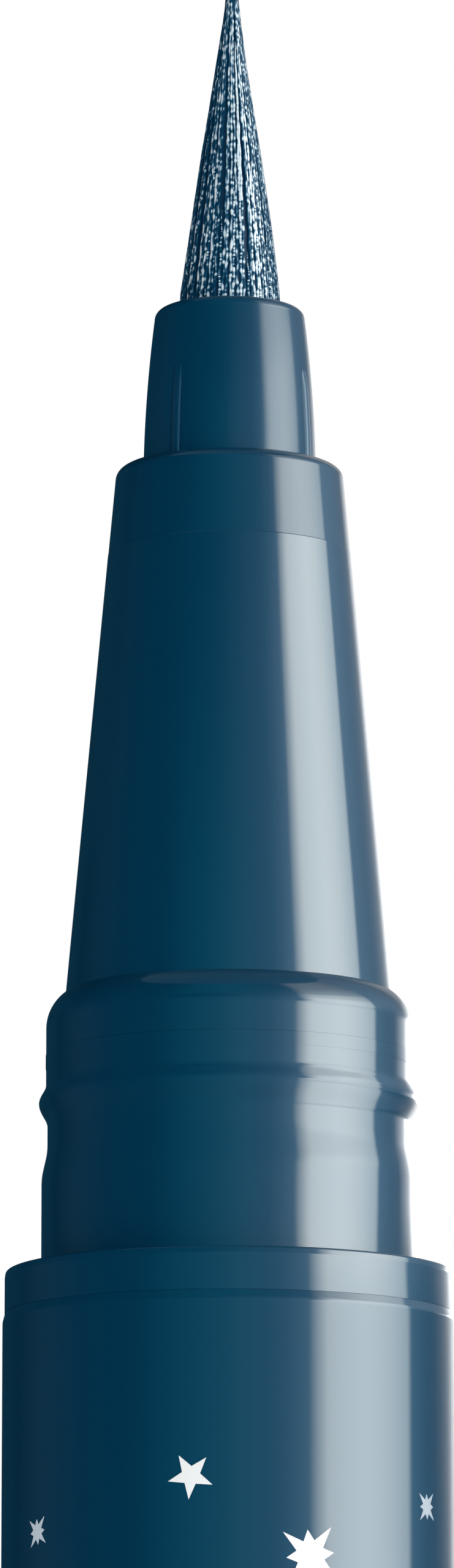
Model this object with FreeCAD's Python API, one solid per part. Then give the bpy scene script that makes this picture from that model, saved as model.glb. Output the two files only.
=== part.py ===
import FreeCAD, Part

import math
import os

from FreeCAD import Vector

# Liquid eyeliner pen, brush up, with its cap posted on the tail.
# Millimetres. The pen's axis is Z. The closed end of the cap stands on z = 0.

# The most of a side that the rounding at one of its ends may take
rounding_share = 0.48

# Running and assembly clearances
running_gap = 0.06
assembly_gap = 0.03
seat_gap = 0.04

# Barrel
barrel_radius = 5.50
barrel_wall = 0.70
barrel_length = 79.0
barrel_edge = 0.15

# Collars at both ends of the barrel
collar_radius = 5.45
collar_height = 0.96
collar_edge = 0.14
skirt_length = 10.0
skirt_wall = 0.65

# Cap seat, groove and snap bead, alike at the nose and at the tail
seat_radius = 4.57
seat_length = 2.42
ramp_length = 0.46
groove_radius = 4.41
groove_length = 0.70
bead_radius = 4.64
bead_length = 1.14
land_radius = 4.47
land_length = 0.29
land_rim_radius = 4.48
land_rim_length = 0.32
spigot_room = 0.50
spigot_edge = 0.5
spigot_wall = 0.8

# Nose cone
dome_radius = 4.47
dome_round = 1.00
cone_foot_radius = 4.00
cone_top_radius = 2.80
cone_foot_height = 1.49
cone_length = 13.10
cone_ring_depth = 2.25
cone_ring_step = 0.02
cone_edge = 0.28
cone_wall = 0.70
cone_stub_length = 2.4

# Nose ferrule that holds the brush
ferrule_foot_radius = 2.13
ferrule_waist_radius = 2.03
ferrule_top_radius = 1.83
ferrule_height = 4.03
ferrule_waist_height = 2.10
ferrule_edge = 0.24
ferrule_stem_radius = 2.05
ferrule_stem_length = 8.6
ferrule_flange_radius = 2.60
ferrule_flange_height = 0.80
ferrule_pocket_radius = 1.80
ferrule_pocket_depth = 3.40
rib_middle_angle = 13.5
rib_spread_angle = 50.5
rib_width = 0.13
rib_height = 0.05
rib_length = 2.40
rib_ramp = 0.25

# Brush and its feed
brush_radius = 1.275
brush_shoulder_radius = 1.05
brush_waist_radius = 0.58
brush_neck_radius = 0.23
brush_point_radius = 0.05
brush_length = 9.11
brush_shoulder_height = 2.02
brush_waist_height = 5.16
brush_neck_height = 7.52
heel_radius = 1.74
heel_height = 0.75
feed_pipe_radius = 0.45
feed_pipe_bore = 0.28
feed_pipe_reach = 4.0
feed_pipe_seat = 0.75

# Collector, wick and overflow ring
collector_length = 14.0
collector_core_radius = 1.30
fin_count = 15
fin_pitch = 0.85
fin_thickness = 0.36
air_slot_width = 0.55
collector_tail_radius = 1.60
collector_tail_length = 5.4
relay_radius = 0.70
overflow_room = 1.98

# Ink tank and what closes it
tank_wall = 0.60
tank_floor = 1.00
tank_joint_flange = 0.90
tank_joint_plug = 3.2
seal_section = 0.30
seal_offset = 1.60
ball_radius = 1.60

# Tail
cushion_height = 2.0
cushion_bore = 1.5
tail_skirt_length = 7.0

# Cap
cap_length = 42.0
cap_radius = 5.50
cap_floor = 1.20
cap_bore_radius = 4.71
cap_foot_edge = 0.60
cap_mouth_edge = 0.15
cap_inner_radius = 4.35
snap_ring_length = 0.60
snap_ring_width = 0.045

# Sprung inner cap
inner_cap_bore = 3.20
inner_cap_wall = 0.70
inner_cap_floor = 0.80
inner_cap_travel = 1.20
inner_cap_flange = 0.70
inner_cap_edge = 0.15
tip_room = 0.60
retainer_length = 4.0
retainer_cover = 1.18
spring_boss_radius = 1.20
spring_boss_length = 1.0
spring_radius = 2.00
spring_wire_radius = 0.18
spring_turns = 6

# Heights worked out from the sizes above
tail_collar_foot = cap_length + seat_gap
barrel_foot = tail_collar_foot + collar_height + seat_gap
barrel_top = barrel_foot + barrel_length
front_collar_foot = barrel_top + seat_gap
front_collar_top = front_collar_foot + collar_height
land_top = (front_collar_top + seat_length + ramp_length + groove_length + bead_length
            + land_length + land_rim_length)
nose_foot = land_top + seat_gap
cone_foot = nose_foot + cone_foot_height
cone_top = cone_foot + cone_length
ferrule_top = cone_top + ferrule_height
brush_tip_height = ferrule_top + brush_length

barrel_bore = barrel_radius - barrel_wall
skirt_radius = barrel_bore - assembly_gap
skirt_bore = skirt_radius - skirt_wall
skirt_foot = front_collar_foot - skirt_length
stub_radius = land_radius - spigot_wall - assembly_gap
stub_foot = nose_foot - cone_stub_length
stub_bore = stub_radius - cone_wall
ferrule_foot = cone_top - ferrule_stem_length
pocket_top = ferrule_foot + ferrule_pocket_depth
brush_bore = brush_radius + assembly_gap
pipe_hole = feed_pipe_radius + assembly_gap


def direction(start, end):
    """Unit vector and distance from one outline point to the next."""
    length = math.dist(start[:2], end[:2])
    return (end[0] - start[0]) / length, (end[1] - start[1]) / length, length


def rounded_corner(before, corner, after, radius):
    """Start, middle and end of the arc that rounds a corner of an outline."""
    in_r, in_z, in_length = direction(corner, before)
    out_r, out_z, out_length = direction(corner, after)
    half = math.acos(max(-1, min(1, in_r * out_r + in_z * out_z))) / 2
    reach = min(radius / math.tan(half), in_length * rounding_share, out_length * rounding_share)
    radius = reach * math.tan(half)
    mid_r, mid_z = in_r + out_r, in_z + out_z
    size = math.hypot(mid_r, mid_z)
    depth = radius / math.sin(half) - radius
    return ((corner[0] + in_r * reach, corner[1] + in_z * reach),
            (corner[0] + mid_r / size * depth, corner[1] + mid_z / size * depth),
            (corner[0] + out_r * reach, corner[1] + out_z * reach))


def outline(corners):
    """Closed face in the XZ plane. A corner is (r, z) or (r, z, rounding), and ("arc", r, z) is a
    point that the arc between its two neighbours passes through."""
    def at(point):
        return Vector(point[0], 0, point[1])

    plain = [c for c in corners if c[0] != "arc"]
    spans = []
    for index, corner in enumerate(plain):
        before = plain[index - 1]
        after = plain[(index + 1) % len(plain)]
        if len(corner) == 3:
            spans.append(rounded_corner(before, corner, after, corner[2]))
        else:
            spans.append(((corner[0], corner[1]),))
    through = {}
    count = 0
    for corner in corners:
        if corner[0] == "arc":
            through[count - 1] = (corner[1], corner[2])
        else:
            count += 1
    edges = []
    for index, span in enumerate(spans):
        if len(span) == 3:
            edges.append(Part.Arc(at(span[0]), at(span[1]), at(span[2])).toShape())
        start, end = span[-1], spans[(index + 1) % len(spans)][0]
        if index in through:
            edges.append(Part.Arc(at(start), at(through[index]), at(end)).toShape())
        else:
            edges.append(Part.LineSegment(at(start), at(end)).toShape())
    return Part.Face(Part.Wire(edges))


def turned(corners, angle=360):
    """Solid turned about the pen's axis from an outline."""
    return outline(corners).revolve(Vector(0, 0, 0), Vector(0, 0, 1), angle)


def tube(outer, inner, low, high):
    """Plain tube on the axis."""
    return turned([(inner, low), (outer, low), (outer, high), (inner, high)])


def rod(radius, low, high):
    """Plain solid rod on the axis."""
    return Part.makeCylinder(radius, high - low, Vector(0, 0, low))


def snap_profile(start, sign):
    """Outline points of seat, ramp, groove and bead, from a collar outwards (sign is +1 up, -1 down)."""
    seat_end = start + sign * seat_length
    groove_start = seat_end + sign * ramp_length
    groove_end = groove_start + sign * groove_length
    bead_end = groove_end + sign * bead_length
    return [(seat_radius, start), (seat_radius, seat_end),
            (groove_radius, groove_start), (groove_radius, groove_end),
            ("arc", bead_radius, (groove_end + bead_end) / 2), (land_radius, bead_end)]


def barrel():
    return turned([(barrel_bore, barrel_foot), (barrel_radius, barrel_foot, barrel_edge),
                   (barrel_radius, barrel_top, barrel_edge), (barrel_bore, barrel_top)])


def front_section():
    """Collar, skirt inside the barrel, and the seat and bead that the cap snaps on."""
    snap = snap_profile(front_collar_top, 1)
    land_end = land_top - land_rim_length
    inner_step = stub_foot - seat_gap
    return turned([(skirt_bore, skirt_foot), (skirt_radius, skirt_foot),
                   (skirt_radius, front_collar_foot), (collar_radius, front_collar_foot, collar_edge),
                   (collar_radius, front_collar_top, collar_edge)]
                  + snap
                  + [(land_radius, land_end), (land_rim_radius, land_end), (land_rim_radius, land_top),
                     (stub_radius + assembly_gap, land_top), (stub_radius + assembly_gap, inner_step),
                     (stub_bore, inner_step), (stub_bore, inner_step - spigot_wall),
                     (skirt_bore, inner_step - spigot_wall - spigot_edge)])


def nose_cone():
    """Domed shoulder and long cone, with a stub that plugs into the front section."""
    ring = cone_top - cone_ring_depth
    slope = (cone_foot_radius - cone_top_radius) / cone_length
    ring_radius = cone_top_radius + slope * cone_ring_depth
    dome_centre = dome_radius - dome_round
    dome_level = cone_foot - math.sqrt(dome_round ** 2 - (cone_foot_radius - dome_centre) ** 2)
    half_turn = math.acos((cone_foot_radius - dome_centre) / dome_round) / 2
    neck_bore = ferrule_stem_radius + assembly_gap
    flange_room = ferrule_flange_radius + assembly_gap
    step = ferrule_foot + ferrule_flange_height + seat_gap
    return turned([(stub_bore, stub_foot), (stub_radius, stub_foot, assembly_gap),
                   (stub_radius, nose_foot), (dome_radius, nose_foot), (dome_radius, dome_level),
                   ("arc", dome_centre + dome_round * math.cos(half_turn),
                    dome_level + dome_round * math.sin(half_turn)),
                   (cone_foot_radius, cone_foot), (ring_radius, ring),
                   (ring_radius - cone_ring_step, ring),
                   (cone_top_radius - cone_ring_step, cone_top, cone_edge),
                   (neck_bore, cone_top), (neck_bore, step), (flange_room, step),
                   (flange_room, ferrule_foot - seat_gap), (stub_bore, ferrule_foot - cone_wall)])


def ferrule_radius(height):
    """Radius of the ferrule's side at a height above its foot: straight, then drawn in on an arc."""
    side = Part.Arc(Vector(ferrule_foot_radius, 0, 0),
                    Vector(ferrule_waist_radius, 0, ferrule_waist_height),
                    Vector(ferrule_top_radius, 0, ferrule_height)).toShape().Curve
    reach = math.sqrt(side.Radius ** 2 - (height - side.Center.z) ** 2)
    return side.Center.x + math.copysign(reach, ferrule_waist_radius - side.Center.x)


def nose_ferrule():
    """Ribbed tube for the brush, on a stem with a flange that the cone holds from inside."""
    shelf = cone_top + seat_gap
    brim = ferrule_height - ferrule_edge
    brim_radius = ferrule_radius(brim)
    roll = ferrule_edge * (1 - math.sqrt(2) / 2)
    body = turned([(ferrule_pocket_radius, ferrule_foot), (ferrule_flange_radius, ferrule_foot),
                   (ferrule_flange_radius, ferrule_foot + ferrule_flange_height),
                   (ferrule_stem_radius, ferrule_foot + ferrule_flange_height),
                   (ferrule_stem_radius, shelf), (ferrule_radius(seat_gap), shelf),
                   ("arc", ferrule_radius(brim / 2), cone_top + brim / 2),
                   (brim_radius, cone_top + brim), ("arc", brim_radius - roll, ferrule_top - roll),
                   (brim_radius - ferrule_edge, ferrule_top), (brush_bore, ferrule_top),
                   (brush_bore, pocket_top), (ferrule_pocket_radius, pocket_top)])
    width_angle = math.degrees(rib_width / ferrule_waist_radius)
    rib_top = cone_top + rib_length
    inside = ferrule_top_radius - ferrule_edge
    rib_profile = [(inside, shelf), (ferrule_radius(seat_gap) + rib_height, shelf),
                   ("arc", ferrule_radius(rib_length / 2) + rib_height, cone_top + rib_length / 2),
                   (ferrule_radius(rib_length - rib_ramp) + rib_height, rib_top - rib_ramp),
                   (ferrule_radius(rib_length) - rib_height, rib_top), (inside, rib_top)]
    for middle in (rib_middle_angle, rib_middle_angle + 180):
        for azimuth in (middle - rib_spread_angle, middle + rib_spread_angle):
            rib = turned(rib_profile, width_angle)
            rib.rotate(Vector(0, 0, 0), Vector(0, 0, 1), azimuth - 90 - width_angle / 2)
            body = body.fuse(rib)
    return body.removeSplitter()


def brush_tip():
    """Filament bundle: straight in the ferrule, then an ogive taper to a fine point."""
    heel_top = pocket_top - seat_gap
    pipe_room = heel_top + feed_pipe_reach + seat_gap
    return turned([(pipe_hole, heel_top), (brush_radius, heel_top), (brush_radius, ferrule_top),
                   (brush_shoulder_radius, ferrule_top + brush_shoulder_height),
                   (brush_waist_radius, ferrule_top + brush_waist_height),
                   (brush_neck_radius, ferrule_top + brush_neck_height),
                   (brush_point_radius, brush_tip_height), (0, brush_tip_height),
                   (0, pipe_room), (pipe_hole, pipe_room)])


def brush_heel():
    """Fused disc at the foot of the filaments, with the hole for the feed pipe."""
    return tube(heel_radius, pipe_hole, pocket_top - seat_gap - heel_height, pocket_top - seat_gap)


def nib_retainer():
    """Sleeve that presses the heel against the step in the ferrule."""
    return tube(ferrule_pocket_radius - assembly_gap, pipe_hole, ferrule_foot,
                pocket_top - seat_gap - heel_height)


def collector_top():
    return skirt_foot + collector_length


def relay_foot():
    return skirt_foot + seat_gap - collector_tail_length


def feed_pipe():
    """Pipe from the collector's head to the middle of the filaments."""
    low = collector_top() - feed_pipe_seat
    return tube(feed_pipe_radius, feed_pipe_bore, low, pocket_top - seat_gap + feed_pipe_reach)


def overflow_wick():
    """Fibre ring round the feed pipe, in the foot of the cone."""
    return tube(stub_bore - assembly_gap, pipe_hole, collector_top() + seat_gap,
                ferrule_foot - overflow_room)


def collector():
    """Finned comb with a wick bore, an air slot through its fins and a tail that enters the tank."""
    foot = skirt_foot + seat_gap
    head = collector_top()
    fin_radius = skirt_bore - assembly_gap
    wick_bore = relay_radius + assembly_gap
    pipe_seat = head - feed_pipe_seat
    corners = [(wick_bore, relay_foot()), (collector_tail_radius, relay_foot()),
               (collector_tail_radius, foot)]
    for index in range(fin_count):
        low = foot + index * fin_pitch
        fin = [(collector_core_radius, low), (fin_radius, low), (fin_radius, low + fin_thickness),
               (collector_core_radius, low + fin_thickness)]
        corners += fin if index else fin[1:]
    corners += [(collector_core_radius, head), (pipe_hole, head), (pipe_hole, pipe_seat),
                (wick_bore, pipe_seat)]
    body = turned(corners)
    slot = Part.makeBox(fin_radius, air_slot_width, head - foot,
                        Vector(collector_core_radius, -air_slot_width / 2, foot))
    return body.cut(slot)


def relay_core():
    """Fibre wick from the tank to the foot of the feed pipe."""
    return rod(relay_radius, relay_foot(), collector_top() - feed_pipe_seat - seat_gap)


def tank_joint():
    """Plug with a flange behind the skirt, a seal groove and a hole for the collector's tail."""
    top = skirt_foot - seat_gap
    flange_foot = top - tank_joint_flange
    plug_foot = flange_foot - tank_joint_plug
    plug_radius = tank_bore() - assembly_gap
    groove = flange_foot - seal_offset
    hole = collector_tail_radius + assembly_gap
    return turned([(hole, plug_foot), (plug_radius, plug_foot, spigot_edge),
                   (plug_radius, groove - seal_section), (plug_radius - seal_section, groove - seal_section),
                   (plug_radius - seal_section, groove + seal_section), (plug_radius, groove + seal_section),
                   (plug_radius, flange_foot), (skirt_radius, flange_foot), (skirt_radius, top),
                   (hole, top)])


def tank_outer():
    return barrel_bore - running_gap


def tank_bore():
    return tank_outer() - tank_wall


def tank_seal_ring():
    """Rubber ring in the tank joint's groove, against the tank's bore."""
    low = skirt_foot - seat_gap - tank_joint_flange - seal_offset - seal_section + assembly_gap
    high = low + 2 * (seal_section - assembly_gap)
    inner = tank_bore() - seal_section
    outer = tank_bore() - assembly_gap / 2
    return turned([(inner, low), (outer, low, seal_section / 2), (outer, high, seal_section / 2),
                   (inner, high)])


def tank_foot():
    return barrel_foot + tail_skirt_length + seat_gap + cushion_height + seat_gap


def ink_tank():
    """Inner tank, closed and dished at its tail so that the ball rests on the axis."""
    low = tank_foot()
    top = skirt_foot - seat_gap - tank_joint_flange - seat_gap
    dish = low + tank_floor
    return turned([(0, low), (tank_outer(), low, tank_floor / 2), (tank_outer(), top),
                   (tank_bore(), top), (tank_bore(), dish + tank_floor / 2), (0, dish)])


def mixing_ball():
    """Steel ball resting in the dished floor of the tank."""
    centre = tank_foot() + tank_floor + ball_radius + running_gap
    return Part.makeSphere(ball_radius, Vector(0, 0, centre))


def tail_cushion():
    """Soft washer between the tail plug and the tank."""
    low = barrel_foot + tail_skirt_length + seat_gap
    return tube(tank_outer(), cushion_bore, low, low + cushion_height)


def tail_plug():
    """Plug in the barrel's tail, with a collar and a closed spigot that the cap is posted on."""
    snap = snap_profile(tail_collar_foot, -1)
    spigot_foot = step_height() + spigot_room
    collar_top = tail_collar_foot + collar_height
    plug_top = barrel_foot + tail_skirt_length
    bore = land_radius - spigot_wall
    return turned([(0, spigot_foot), (land_radius, spigot_foot, spigot_edge)]
                  + list(reversed(snap))
                  + [(collar_radius, tail_collar_foot, collar_edge),
                     (collar_radius, collar_top, collar_edge), (skirt_radius, collar_top),
                     (skirt_radius, plug_top), (bore, plug_top), (bore, spigot_foot + spigot_wall),
                     (0, spigot_foot + spigot_wall)])


def step_height():
    """Height in the cap where the mouth's wide bore ends: a retainer covers the inner cap's lip."""
    return inner_cap_lip() + retainer_cover


def cap_shell():
    """Closed cap: wide bore at the mouth with a snap ring, narrower bore for the inner cap."""
    groove_centre = (cap_length - seat_length - ramp_length - groove_length / 2)
    ring_low = groove_centre - snap_ring_length / 2
    ring_high = groove_centre + snap_ring_length / 2
    ring_radius = cap_bore_radius - snap_ring_width
    return turned([(0, 0), (cap_radius, 0, cap_foot_edge), (cap_radius, cap_length, cap_mouth_edge),
                   (cap_bore_radius, cap_length, cap_mouth_edge), (cap_bore_radius, ring_high),
                   ("arc", ring_radius, groove_centre), (cap_bore_radius, ring_low),
                   (cap_bore_radius, step_height()), (cap_inner_radius, step_height()),
                   (cap_inner_radius, cap_floor), (0, cap_floor)])


def inner_cap_lip():
    """Height of the inner cap's lip at rest: its bore meets the cone when the cap is on the nose."""
    slope = (cone_foot_radius - cone_top_radius) / cone_length
    seal_height = cone_foot + (cone_foot_radius - inner_cap_bore) / slope
    pressed = cap_length - (seal_height - front_collar_top)
    return pressed + inner_cap_travel


def inner_cap_foot():
    """Height of the inner cap's closed end at rest, with room for the brush when pressed."""
    pressed = cap_length - (brush_tip_height - front_collar_top) - tip_room - inner_cap_floor
    return pressed + inner_cap_travel


def inner_cap():
    """Sprung cup that seals on the cone, with two guide flanges and a boss for the spring."""
    low = inner_cap_foot()
    high = inner_cap_lip()
    wall = inner_cap_bore + inner_cap_wall
    flange = cap_inner_radius - running_gap
    stop = step_height() - retainer_length
    boss_foot = low - spring_boss_length
    return turned([(0, boss_foot), (spring_boss_radius, boss_foot, inner_cap_edge),
                   (spring_boss_radius, low), (flange, low), (flange, low + inner_cap_flange),
                   (wall, low + inner_cap_flange), (wall, stop - inner_cap_flange),
                   (flange, stop - inner_cap_flange), (flange, stop - seat_gap),
                   (wall, stop - seat_gap), (wall, high, inner_cap_edge),
                   (inner_cap_bore, high, inner_cap_edge),
                   (inner_cap_bore, low + inner_cap_floor), (0, low + inner_cap_floor)])


def inner_cap_retainer():
    """Ring pressed into the cap that stops the inner cap's upper flange."""
    return tube(cap_inner_radius - assembly_gap, inner_cap_bore + inner_cap_wall + running_gap,
                step_height() - retainer_length, step_height())


def biarc(start, start_way, end, end_way):
    """Two arcs from start to end that leave and arrive along the given ways."""
    span = end - start
    ways = start_way + end_way
    spread = 2 * (1 - start_way.dot(end_way))
    lean = 2 * span.dot(ways)
    reach = (-lean + math.sqrt(lean ** 2 + 4 * spread * span.dot(span))) / (2 * spread)
    joint = (start + end + (start_way - end_way) * reach) / 2
    arcs = []
    for low, way, high in ((start, start_way, joint), (end, end_way * -1, joint)):
        chord = high - low
        turn = way.getAngle(chord)
        aside = (way - chord * (way.dot(chord) / chord.dot(chord))).normalize()
        middle = low + chord / 2 + aside * (chord.Length / 2 * math.tan(turn / 2))
        ends = (low, high) if low == start else (high, low)
        arcs.append(Part.Arc(ends[0], middle, ends[1]).toShape())
    return arcs


def cap_spring():
    """Coil spring between the cap's floor and the inner cap, swept along quarter-turn biarcs."""
    low = cap_floor + spring_wire_radius + assembly_gap
    high = inner_cap_foot() - spring_wire_radius - assembly_gap
    quarters = 4 * spring_turns
    rise = (high - low) / quarters
    climb = rise / (math.pi / 2)
    points = []
    for index in range(quarters + 1):
        turn = math.pi / 2 * index
        point = Vector(spring_radius * math.cos(turn), spring_radius * math.sin(turn), low + rise * index)
        way = Vector(-spring_radius * math.sin(turn), spring_radius * math.cos(turn), climb).normalize()
        points.append((point, way))
    edges = []
    for (start, start_way), (end, end_way) in zip(points, points[1:]):
        edges += biarc(start, start_way, end, end_way)
    path = Part.Wire(edges)
    section = Part.Wire(Part.makeCircle(spring_wire_radius, points[0][0], points[0][1]))
    print("spring: least gap between turns", round(rise * 4 - 2 * spring_wire_radius, 3))
    return path.makePipeShell([section], True, False)


pieces = [barrel, front_section, nose_cone, nose_ferrule, brush_tip, brush_heel, nib_retainer,
          feed_pipe, overflow_wick, collector, relay_core, tank_joint, tank_seal_ring, ink_tank,
          mixing_ball, tail_cushion, tail_plug, cap_shell, inner_cap, inner_cap_retainer, cap_spring]

os.makedirs("parts", exist_ok=True)
for piece in pieces:
    solid = piece()
    solid.exportStep("parts/" + piece.__name__ + ".step")
    box = solid.optimalBoundingBox()
    print(f"{piece.__name__:20s} solids {len(solid.Solids)} valid {solid.isValid()} "
          f"r {box.XMax:.2f} z {box.ZMin:.2f} to {box.ZMax:.2f} volume {solid.Volume:.2f}")
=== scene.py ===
import math
import random

import bpy
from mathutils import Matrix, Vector


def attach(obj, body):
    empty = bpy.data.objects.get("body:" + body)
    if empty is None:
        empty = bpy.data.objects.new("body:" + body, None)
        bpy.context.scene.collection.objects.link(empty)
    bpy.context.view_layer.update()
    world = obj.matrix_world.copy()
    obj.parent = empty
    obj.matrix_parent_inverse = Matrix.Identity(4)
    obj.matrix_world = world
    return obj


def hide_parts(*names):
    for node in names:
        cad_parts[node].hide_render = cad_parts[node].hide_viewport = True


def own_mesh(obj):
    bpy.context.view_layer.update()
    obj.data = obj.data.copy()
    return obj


# Liquid eyeliner pen, brush up, cap posted on its tail. Sizes in the dictionaries are millimetres.

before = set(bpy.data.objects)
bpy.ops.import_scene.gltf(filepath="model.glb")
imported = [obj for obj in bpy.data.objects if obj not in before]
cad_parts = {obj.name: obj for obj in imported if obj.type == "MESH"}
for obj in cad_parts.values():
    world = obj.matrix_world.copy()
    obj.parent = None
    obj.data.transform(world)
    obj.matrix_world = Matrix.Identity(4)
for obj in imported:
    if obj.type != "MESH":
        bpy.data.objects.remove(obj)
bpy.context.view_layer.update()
mm = 0.001
# lengths and radii below this count as none
tiny = 1e-6
# share of a side that the rounding at its end may take
mostOfSide = 0.48
# edges that bend more than this are shaded sharp
sharpAngle = math.radians(40)


# helpers for shapes

def circleThrough(start, middle, end):
    # centre of the circle through three points
    (ax, ay), (bx, by), (cx, cy) = start, middle, end
    d = 2 * (ax * (by - cy) + bx * (cy - ay) + cx * (ay - by))
    a2, b2, c2 = ax * ax + ay * ay, bx * bx + by * by, cx * cx + cy * cy
    return ((a2 * (by - cy) + b2 * (cy - ay) + c2 * (ay - by)) / d,
            (a2 * (cx - bx) + b2 * (ax - cx) + c2 * (bx - ax)) / d)


def arcThrough(start, middle, end, steps):
    # points and outward normals of an arc in the (r, z) plane
    (ax, ay), (bx, by), (cx, cy) = start, middle, end
    ox, oy = circleThrough(start, middle, end)
    radius = math.hypot(ax - ox, ay - oy)
    first = math.atan2(ay - oy, ax - ox)
    turnsLeft = (bx - ax) * (cy - by) - (by - ay) * (cx - bx) > 0
    sweep = math.atan2(cy - oy, cx - ox) - first
    if turnsLeft and sweep < 0:
        sweep += 2 * math.pi
    if not turnsLeft and sweep > 0:
        sweep -= 2 * math.pi
    side = 1 if turnsLeft else -1
    points = []
    for i in range(steps + 1):
        angle = first + sweep * i / steps
        ux, uy = math.cos(angle), math.sin(angle)
        points.append((ox + radius * ux, oy + radius * uy, side * ux, side * uy))
    return points


def roundCorner(before, corner, after, radius):
    # start, middle and end of the arc that rounds a corner
    inLength, outLength = math.dist(corner[:2], before[:2]), math.dist(corner[:2], after[:2])
    inR, inZ = (before[0] - corner[0]) / inLength, (before[1] - corner[1]) / inLength
    outR, outZ = (after[0] - corner[0]) / outLength, (after[1] - corner[1]) / outLength
    half = math.acos(max(-1, min(1, inR * outR + inZ * outZ))) / 2
    reach = min(radius / math.tan(half), inLength * mostOfSide, outLength * mostOfSide)
    radius = reach * math.tan(half)
    midR, midZ = inR + outR, inZ + outZ
    size = math.hypot(midR, midZ)
    depth = radius / math.sin(half) - radius
    return ((corner[0] + inR * reach, corner[1] + inZ * reach),
            (corner[0] + midR / size * depth, corner[1] + midZ / size * depth),
            (corner[0] + outR * reach, corner[1] + outZ * reach))


def outlineRuns(corners, steps):
    # a corner is (r, z) or (r, z, rounding); ("arc", r, z) bends the side between its neighbours
    plain = [c for c in corners if c[0] != "arc"]
    bends, count = {}, 0
    for c in corners:
        if c[0] == "arc":
            bends[count - 1] = c[1:]
        else:
            count += 1
    spans = []
    for i, c in enumerate(plain):
        if len(c) == 3:
            spans.append(roundCorner(plain[i - 1], c, plain[(i + 1) % len(plain)], c[2]))
        else:
            spans.append((c,))
    runs = []
    for i, span in enumerate(spans):
        if len(span) == 3:
            runs.append(arcThrough(*span, steps))
        start, end = span[-1], spans[(i + 1) % len(spans)][0]
        length = math.dist(start, end)
        if i in bends:
            runs.append(arcThrough(start, bends[i], end, steps * 2))
        elif length > tiny:
            nr, nz = (end[1] - start[1]) / length, (start[0] - end[0]) / length
            runs.append([(*start, nr, nz), (*end, nr, nz)])
    return runs


def newObject(name, vertices, faces, material, body, normals=None):
    # mesh object from points in millimetres, riding on a body of the frame
    mesh = bpy.data.meshes.new(name)
    mesh.from_pydata([(x * mm, y * mm, z * mm) for x, y, z in vertices], [], faces)
    mesh.shade_smooth()
    if normals:
        mesh.normals_split_custom_set(normals)
    mesh.materials.append(material)
    obj = bpy.data.objects.new(name, mesh)
    bpy.context.scene.collection.objects.link(obj)
    if body:
        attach(obj, body)
    return obj


def turnedObject(name, corners, material, body, around=192, steps=6, soft=()):
    # outline turned about Z, with the outline's own normals so that long sides shade true;
    # soft holds (low, high, share): between those heights the normals' tilt is times the share
    vertices, faces, normals, rings = [], [], [], {}
    angles = [2 * math.pi * k / around for k in range(around)]

    def ring(r, z):
        key = (round(r, 5), round(z, 5))
        if key not in rings:
            rings[key] = len(vertices)
            if key[0] == 0:
                vertices.append((0, 0, z))
            else:
                vertices.extend((r * math.cos(a), r * math.sin(a), z) for a in angles)
        return rings[key]

    def soften(point):
        r, z, nr, nz = point
        for low, high, share in soft:
            if low <= z <= high and nr > 0:
                nz *= share
                size = math.hypot(nr, nz)
                nr, nz = nr / size, nz / size
                break
        return r, z, nr, nz

    for run in outlineRuns(corners, steps):
        run = [soften(point) for point in run]
        for low, high in zip(run, run[1:]):
            if low[0] < tiny and high[0] < tiny:
                continue
            a, b = ring(*low[:2]), ring(*high[:2])
            for k in range(around):
                n = (k + 1) % around
                if low[0] < tiny:
                    loops = [(a, low, k), (b + n, high, n), (b + k, high, k)]
                elif high[0] < tiny:
                    loops = [(a + k, low, k), (a + n, low, n), (b, high, k)]
                else:
                    loops = [(a + k, low, k), (a + n, low, n), (b + n, high, n), (b + k, high, k)]
                faces.append([v for v, _, _ in loops])
                normals += [(nr * math.cos(angles[i]), nr * math.sin(angles[i]), nz)
                            for _, (_, _, nr, nz), i in loops]
    return newObject(name, vertices, faces, material, body, normals)


# helpers for materials

def colour(hexText):
    # sRGB hex to linear
    values = [int(hexText[i:i + 2], 16) / 255 for i in (1, 3, 5)]
    return [v / 12.92 if v <= 0.04045 else ((v + 0.055) / 1.055) ** 2.4 for v in values] + [1]


def addNode(tree, kind, links=None, stops=(), **settings):
    # adds a node; settings are its own properties or, as a dictionary called inputs, its sockets,
    # and stops are the (position, linear colour) of a colour ramp
    node = tree.nodes.new(kind)
    for key, value in settings.pop("inputs", {}).items():
        node.inputs[key].default_value = value
    for key, value in settings.items():
        setattr(node, key, value)
    for index, (position, tint) in enumerate(stops):
        ramp = node.color_ramp.elements
        while index == 0 and len(ramp) > 1:
            ramp.remove(ramp[-1])
        stop = ramp[0] if index == 0 else ramp.new(position)
        stop.position = position
        stop.color = [*tint, 1]
    for key, socket in (links or {}).items():
        tree.links.new(socket, node.inputs[key])
    return node


def surface(name, **inputs):
    # Principled material with uniform values on its own sockets
    material = bpy.data.materials.new(name)
    material.use_nodes = True
    tree = material.node_tree
    shader = tree.nodes["Principled BSDF"]
    for key, value in inputs.items():
        shader.inputs[key.replace("_", " ")].default_value = value
    return material, tree, shader


print("materials")

# High-gloss moulded ABS with a pearl-blue pigment under clear lacquer: sharp reflections of the
# lights, and a broad bluish glow beside them from the pigment. Its orange peel is 1.2 mm across.
teal = dict(base="#023753", pearl="#A8DCFF", roughness=0.38, ior=1.53, glow=0.28, coat=1.0,
            coatRoughness=0.035, coatIor=1.5, orangePeel=1.2, peelHeight=0.02, peelStrength=0.02)


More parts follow.
